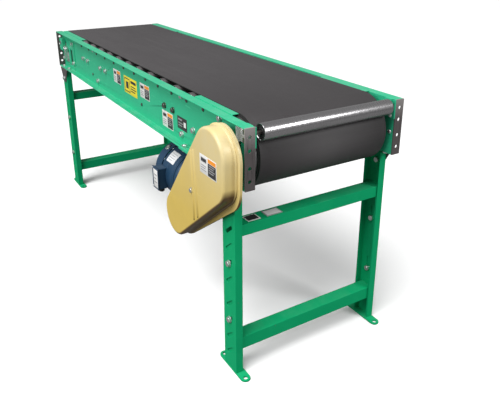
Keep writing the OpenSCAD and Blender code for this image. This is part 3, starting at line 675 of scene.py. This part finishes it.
def caution(name, x, z, w, h, y):
    """Plain two-part label: white field with grey bars, orange band over a dark field with pale bars."""
    spec = [(0, 0, 1, 1, S_WHITE), (0.5, 0.74, 0.97, 0.95, S_ORANGE), (0.5, 0.05, 0.97, 0.72, S_BLACK)]
    spec += [(0.56, 0.6 - 0.12 * i, 0.9 - 0.06 * (i % 2), 0.65 - 0.12 * i, S_GREY) for i in range(4)]
    spec += [(0.08, 0.62, 0.42, 0.86, S_GREY), (0.1, 0.66, 0.4, 0.82, S_BLACK)]
    spec += [(0.08, 0.42 - 0.12 * i, 0.4 - 0.05 * (i % 2), 0.47 - 0.12 * i, S_GREY) for i in range(3)]
    label(name, x, z, w, h, y, spec)


# outer face of the channels' webs: the left one looks along -Y
WEB = 254.0
caution("label_web_1", -112, 751, 84, 56, -WEB)
caution("label_web_2", 187, 753, 92, 55, -WEB)
caution("label_web_3", 388, 698, 88, 58, -WEB)
caution("label_guard", 845, 698, 98, 56, FRONT)
label("label_yellow_field", 38, 741, 138, 68, -WEB, [
    (0, 0, 1, 1, S_YELLOW), (0.05, 0.1, 0.47, 0.9, S_BLACK), (0.08, 0.16, 0.44, 0.84, S_YELLOW),
    (0.16, 0.3, 0.36, 0.7, S_BLACK), (0.54, 0.7, 0.94, 0.86, S_BLACK), (0.54, 0.5, 0.9, 0.56, S_BLACK),
    (0.54, 0.36, 0.94, 0.42, S_BLACK), (0.54, 0.22, 0.86, 0.28, S_BLACK)])
label("label_dark_plate", 505, 716, 72, 43, -WEB, [
    (0, 0, 1, 1, S_BLACK), (0.1, 0.7, 0.5, 0.82, S_GREY), (0.1, 0.45, 0.62, 0.52, S_GREY),
    (0.1, 0.25, 0.5, 0.32, S_GREY), (0.68, 0.3, 0.9, 0.7, S_WHITE)])

# ---------------------------------------------------------------- bolts
# x of the legs' middle, y of their webs' outer face, then y and upper face of the channels' bottom flange
LX, LEG_OUT, FLANGE_Y, FLANGE_Z = 859.0, 284.0, 269, 653
web_bolts = [(511, 812), (503, 680), (589, 717), (765, 803), (-403, 813), (-376, 679)]
bm = bmesh.new()
for side in (-1, 1):
    inner = "-Y" if side > 0 else "Y"
    for x, z in web_bolts:
        full_bolt(bm, x, z, side, WEB, 3)
    # cross spacers; the drive-end one has dark bolts, which are painted shade standing in for dark holes
    for x in (-548, -292.5, 404.5):
        for s in (-1, 1):
            full_bolt(bm, x + s * 34.5, 746, side, WEB, 6, int(x > 400))
    # pulley bearings
    for sx in (-1, 1):
        for sz in (-1, 1):
            full_bolt(bm, DX + sx * 36, DZ + sz * 36, side, WEB + 12, 15)
    # pop-out brackets, with two rivets further down
    for z in (782, 806):
        full_bolt(bm, 914, z, side, WEB + 2, 9)
    for y, z in ((250.9, 723), (246.9, 776)):
        lathe(bm, (932, side * y, z), inner, [(0, 0), (7, 0), (6.6, 1.6), (5, 3), (2.6, 3.9), (0, 4.2)], 20)
    # take-up plates
    for x, z in ((-752, 788), (-752, 692), (-930, 692)):
        full_bolt(bm, x, z, side, WEB + 3, 6)
    # pivot brackets, and the motor mount, under the bottom flange
    upright = [(s * x, 647) for s in (-1, 1) for x in (LX - 46, LX + 46)]
    upright += [(550, 644), (654, 644)] if side < 0 else []
    for x, z in upright:
        hex_head(bm, (x, side * FLANGE_Y, z), "-Z", 17, 6.4)
        thread(bm, (x, side * FLANGE_Y, z), "Z", 5, 0.2, FLANGE_Z - z + 7.9)
        hex_head(bm, (x, side * FLANGE_Y, FLANGE_Z), "Z", 17, 7.4)
# gear reducer
for x in (GX - 58, GX + 58):
    for z in (436, 544):
        full_bolt(bm, x, z, -1, 151, 17)
# stud through the chain guard
STUD_X, STUD_Z = (DX + GX) / 2 + 20, (DZ + GZ) / 2
hex_head(bm, (STUD_X, FRONT, STUD_Z), "-Y", 13, 5.5, 0, 9, 1.5)
thread(bm, (STUD_X, -285, STUD_Z), "-Y", 4, 0, 53, pitch=1.25)
hex_head(bm, (STUD_X, -284, STUD_Z), "-Y", 13, 5)
o = make("bed_fasteners", bm, [ZINC, OILED], "bed")
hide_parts("frame_bolts")
bm = bmesh.new()
for end in (-1, 1):
    for side in (-1, 1):
        for z in (188, 386):
            full_bolt(bm, end * LX, z, side, LEG_OUT, 6.4)
        full_bolt(bm, end * LX, 600, side, LEG_OUT + 3.2, 6.2)
o = make("support_fasteners", bm, [ZINC], "bed")
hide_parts("support_bolts")

# ---------------------------------------------------------------- motor and reducer
# axis of the motor, which lies along X
MY, MZ = -178.0, 489.999
bm = bmesh.new()
rear = [(0, 336), (20, 336), (22, 338), (72, 338.5), (86, 339.5), (90.5, 341.5), (92, 345), (94.5, 348),
        (95, 356), (93.5, 357.5), (93.5, 359)]
frame_tube = [(97.4, 360.5), (98, 362), (98, 395), (97.6, 395.6), (98, 396.2), (98, 440), (97.6, 440.6),
              (98, 441.2), (98, 450), (97.4, 451.5)]
front = [(93.5, 453), (93.5, 455), (96, 456.5), (96, 466), (94, 470), (90, 476), (80, 482), (66.5, 484),
         (66, 486), (66, 498), (65.5, 500), (0, 500)]
lathe(bm, (0, MY, MZ), "X", rear + frame_tube + front, 72)
for k in range(4):
    a = math.radians(45 + 90 * k)
    y, z = MY + 84 * math.cos(a), MZ + 84 * math.sin(a)
    lathe(bm, (472, y, z), "X", [(0, 0), (9, 0), (9, 9), (6, 12), (0, 12)], 20)
for k in range(12):
    a = math.radians(15 + 30 * k)
    y, z = MY + 93 * math.cos(a), MZ + 93 * math.sin(a)
    slab(bm, (456, y - 1.6, z - 1.6), (471, y + 1.6, z + 1.6))
o = make("motor_shell", bm, [NAVY], "bed", sharp=38)
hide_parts("motor")

# lifting eye
bm = bmesh.new()
lathe(bm, (410, MY, MZ + 96), "Z", [(0, 0), (11, 0), (11, 3), (7, 5), (0, 5)], 24)
ring_r, wire = 6.0, 2.4
sideways = Vector((0, 1, 0))
rows = []
for a in turn(24):
    out = Vector((math.cos(a), 0, math.sin(a)))
    c = Vector((410, MY, MZ + 103.5)) + out * ring_r
    rows.append([bm.verts.new((c + out * wire * math.cos(b) + sideways * wire * math.sin(b)) * MM)
                 for b in turn(10)])
skin(bm, rows, loop=True)
make("motor_lifting_eye", bm, [ZINC], "bed", sharp=50)


def on_motor(x, angle, r):
    """Point r mm from the motor's axis, angle degrees up from the -Y side, in metres."""
    a = math.radians(angle)
    return (x * MM, (MY - r * math.cos(a)) * MM, (MZ + r * math.sin(a)) * MM)


def wrap_plate(x0, x1, a0, a1, r0, r1, mat=0, n=10):
    """Plate bent round the motor between two places along it, two angles and two radii."""
    angles = [a0 + (a1 - a0) * i / n for i in range(n + 1)]
    corners = ((x0, r0), (x0, r1), (x1, r1), (x1, r0))
    skin(bm, [[bm.verts.new(on_motor(x, a, r)) for x, r in corners] for a in angles], mat)


# curved nameplate on the motor, with plain bars and four rivets
bm = bmesh.new()
wrap_plate(370, 426, 34, 60, 98.0, 98.7)
for i in range(4):
    wrap_plate(377, 407 + 10 * (i % 2), 39 + 5 * i, 40 + 5 * i, 98.5, 98.85, 1, 3)
for x in (374, 422):
    for a in (36.5, 57.5):
        rivet = Matrix.Translation(Vector(on_motor(x, a, 98.6)))
        bmesh.ops.create_icosphere(bm, subdivisions=2, radius=1.5 * MM, matrix=rivet)
make("motor_nameplate", bm, [FOIL, S_GREY], "bed")

# round grey plugs on the fan cover
bm = bmesh.new()
for a in map(math.radians, (58, 178, 298)):
    out = Vector((0, -math.cos(a), math.sin(a)))
    u = Vector((1, 0, 0))
    v = out.cross(u)
    plug = ((11, 92), (11, 98.5), (9.5, 100), (5.5, 100), (4.5, 99), (0.01, 99))
    skin(bm, [[bm.verts.new((Vector((320, MY, MZ)) + out * h + (u * math.cos(b) + v * math.sin(b)) * r) * MM)
               for b in turn(24)] for r, h in plug])
make("fan_cover_plugs", bm, [PLATE], "bed", sharp=40)

# conduit box lid with gasket, plain pale plate, screws and gland
bm = bmesh.new()
slab(bm, (345, -301.2, 446), (393, -299.8, 526), 2, bevel=0.5)
slab(bm, (344, -305.5, 445), (394, -301.2, 527), 0, bevel=1.8, seg=3)
slab(bm, (356, -306.1, 452), (391, -305.3, 520), 3, bevel=0.3)
for i in range(3):
    slab(bm, (361, -306.3, 470 + 14 * i), (386 - 7 * (i % 2), -305.9, 474 + 14 * i), 4)
for z in (451, 521):
    lathe(bm, (350, -305.5, z), "-Y", [(0, 0), (3.2, 0), (3.2, 1.2), (2.4, 2.2), (0, 2.6)], 18, mats=[1] * 4)
lathe(bm, (369, -283, 447), "-Z", [(0, 0), (12, 0), (12, 5), (10, 6), (10, 14), (8, 16), (5.5, 16), (5, 12),
                                   (0, 12)], 24, mats=[2] * 8)
make("conduit_lid", bm, [NAVY, ZINC, BLACK, S_WHITE, S_GREY], "bed")

# gear reducer: housing, foot plate, ribs, output boss, motor flange and end cap
bm = bmesh.new()
slab(bm, (GX - 45, -262, 412), (GX + 45, -140, 534), bevel=8, seg=4)
slab(bm, (GX - 70, -151, 420), (GX + 70, -140, 560), bevel=2.5)
for i in range(5):
    x, z = GX - 34 + i * 17, 424 + i * 9
    slab(bm, (GX + 43, -248, z), (GX + 49, -158, z + 3.5), bevel=1.2)
    slab(bm, (x - 2, -250, 532), (x + 2.5, -158, 539), bevel=1.4)
lathe(bm, (GX, 0, GZ), "Y", [(14.6, -276), (20, -276), (21, -275), (28, -275), (28.5, -276), (36.5, -276),
                             (38, -274.5), (38, -263), (42, -261), (14.6, -261)], closed=True)
lathe(bm, (0, MY, MZ), "X", [(0, 500), (58.5, 500), (60, 501.5), (60, 526), (58, 528), (31, 529), (28, 532),
                             (28, 558), (0, 558)], 56)
lathe(bm, (GX, MY, MZ), "X", [(0, 44), (26, 44), (26, 52), (24, 54), (15, 54), (14, 52.5), (0, 52.5)], 40)
for k in range(4):
    a = math.radians(45 + 90 * k)
    hex_head(bm, (GX + 33 * math.cos(a), -276, GZ + 33 * math.sin(a)), "-Y", 7, 3.2, 1)
    hex_head(bm, (528, MY + 48 * math.cos(a), MZ + 48 * math.sin(a)), "X", 13, 6, 1, 8, 1.2)
    hex_head(bm, (GX + 54, MY + 20 * math.cos(a), MZ + 20 * math.sin(a)), "X", 6, 1.6, 1)
lathe(bm, (GX + 20, -200, 534), "Z", [(0, 0), (9, 0), (9, 5), (0, 5)], 6, mats=[1] * 3)
o = make("reducer_housing", bm, [NAVY, ZINC], "bed", sharp=38)
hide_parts("gear_reducer")

# black sheets with rivets inside the take-up windows: painted shade where the open windows show shade
bm = bmesh.new()
for side in (-1, 1):
    inner = "-Y" if side > 0 else "Y"
    side_slab(bm, side, (-815, 249.2, 684), (-764, 250.8, 761), 0.4)
    for x in (-811.5, -767.5):
        for z in (688, 757):
            lathe(bm, (x, side * 249.2, z), inner, [(0, 0), (2.6, 0), (2.2, 1.1), (0, 1.5)], 14, mats=[1] * 3)
make("window_shade_sheets", bm, [SEAL, ZINC], "bed", sharp=40)

# ---------------------------------------------------------------- take-up screws with threads
bm = bmesh.new()
for side in (-1, 1):
    sy, sz = side * 266, 750
    thread(bm, (0, sy, sz), "X", 6, -940, -830, pitch=1.75, seg=24)
    hex_head(bm, (-936, sy, sz), "-X", 16, 8)
    hex_head(bm, (-841, sy, sz), "X", 16, 8, 0, 10, 1.5)
    side_slab(bm, side, (-846, 257, 700), (-841, 277, 768), 1.2)
    side_slab(bm, side, (-880, 257, 685), (-830, 260, 734), 0.8)
    for x in (-871, -855):
        hex_head(bm, (x, side * 260, 697), "Y" if side > 0 else "-Y", 10, 4)
o = make("takeup_threads", bm, [ZINC], "bed")
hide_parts("takeup_screws")

# ---------------------------------------------------------------- roller chain
bm = bmesh.new()
# pitch circle radius of both sprockets, chain pitch, angle of the line between them, and the chain's middle
PITCH_R, PITCH, SLOPE, CY = 40.5914, 12.7, 229.9, -315.0
step = Vector((math.cos(math.radians(SLOPE)), math.sin(math.radians(SLOPE)))) * PITCH
pins = []
for x, z, turned, s in ((DX, DZ, SLOPE - 270, 1), (GX, GZ, SLOPE - 90, -1)):
    pins += arc(x, z, PITCH_R, turned, turned + 180, 10)
    last = Vector(pins[-1])
    pins += [tuple(last + step * s * k) for k in range(1, 28)]
for k, (x, z) in enumerate(pins):
    lathe(bm, (x, CY, z), "Y", [(0, -6.2), (1.7, -6.2), (1.9, -5.9), (1.9, -4.6), (3.9, -3.8), (3.9, 3.8),
                                (1.9, 4.6), (1.9, 5.9), (1.7, 6.2), (0, 6.2)], 14)
    x2, z2 = pins[(k + 1) % len(pins)]
    ang = math.atan2(z2 - z, x2 - x)
    middle = Vector(((x + x2) / 2, (z + z2) / 2))
    waist = Vector((math.sin(ang), -math.cos(ang))) * 3.4
    tilt = math.degrees(ang)
    pts = arc(x, z, 5.2, tilt + 90, tilt + 270, 8) + [tuple(middle + waist)]
    pts += arc(x2, z2, 5.2, tilt - 90, tilt + 90, 8) + [tuple(middle - waist)]
    off = 5.0 if k % 2 else 4.0
    for s in (-1, 1):
        prism(bm, pts, CY + s * off - 0.45, CY + s * off + 0.45)
o = make("chain_links", bm, [OILED], "bed", sharp=40)
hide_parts("drive_chain")

# ---------------------------------------------------------------- bearing collars, grease nipples
bm = bmesh.new()
for s in (-1, 1):
    outer = "Y" if s > 0 else "-Y"
    lathe(bm, (DX, s * 279, DZ), outer, [(15.1, 0), (21, 0), (22, 0.8), (22, 4.2), (21.2, 5), (15.1, 5)], 40,
          closed=True)
    lathe(bm, (DX - 18, s * 270, DZ + 24), "Z", [(0, 0), (3.4, 0), (3.4, 4), (2, 6), (2.6, 7.5), (1.2, 9.5),
                                                 (0, 9.5)], 14)
make("bearing_collars", bm, [ZINC], "bed")

# ---------------------------------------------------------------- weld beads
def bead(p, q, r=2.6, up=(0, 0, 1)):
    """Row of overlapping weld ripples from p to q, in mm."""
    p, q = Vector(p), Vector(q)
    d = q - p
    n = 2 * max(2, int(d.length / 2.6))
    d.normalize()
    across = d.cross(Vector(up)).normalized()
    rise = across.cross(d)
    rows = []
    for i in range(n + 1):
        c = p + (q - p) * i / n
        rr = r * (1.0 if i % 2 else 0.82) * (0.92 + 0.16 * random.random())
        if i in (0, n):
            rr *= 0.3
        rows.append([bm.verts.new((c + across * rr * math.cos(a) + rise * rr * math.sin(a)) * MM)
                     for a in turn(8)])
    skin(bm, rows)


bm = bmesh.new()
for e in (-1, 1):
    for s in (-1, 1):
        bead((e * (LX - 31), s * 281, 6.4), (e * (LX + 31), s * 281, 6.4))
        for x in (LX - 32.8, LX + 32.8):
            bead((e * x, s * 260, 6.4), (e * x, s * 279, 6.4), r=2.2)
    for s in (-1, 1):
        for x in (LX - 19.5, LX + 27.5):
            bead((e * x, s * 277, 86), (e * x, s * 277, 125), r=1.9, up=(1, 0, 0))
make("support_welds", bm, [GREEN_SHADED_COPY], "supports", sharp=60)

# two plain plates on the drive-end upper brace
bm = bmesh.new()
for y0, y1, rim, field in ((-232, -188, 0, 1), (-166, -110, 2, 0)):
    slab(bm, (846, y0, 518), (882, y1, 519.2), rim, bevel=0.5)
    slab(bm, (850, y0 + 4, 519.1), (878, y1 - 4, 519.5), field)
make("brace_plates", bm, [S_WHITE, S_BLACK, S_GREY], "bed")

# ---------------------------------------------------------------- floor
fm = Mat("floor_white", (0.99, 0.99, 0.99), 0.7, spec=0.1)
fm.tint(fm.remap(fm.noise(1.5, 4), 0.4, 0.8, 0, 0.1), (0.96, 0.96, 0.96))
# white where it is seen, darker in the light it throws back under the conveyor
bounced = fm.math("SUBTRACT", 1.0, fm.node("ShaderNodeLightPath").outputs["Is Camera Ray"])
fm.tint(bounced, (0.16, 0.16, 0.16))
bm = bmesh.new()
bmesh.ops.create_grid(bm, x_segments=2, y_segments=2, size=40)
me = bpy.data.meshes.new("floor")
bm.to_mesh(me)
bm.free()
me.materials.append(fm.done())
floor = bpy.data.objects.new("floor", me)
sc.collection.objects.link(floor)
floor.location.z = -0.0002
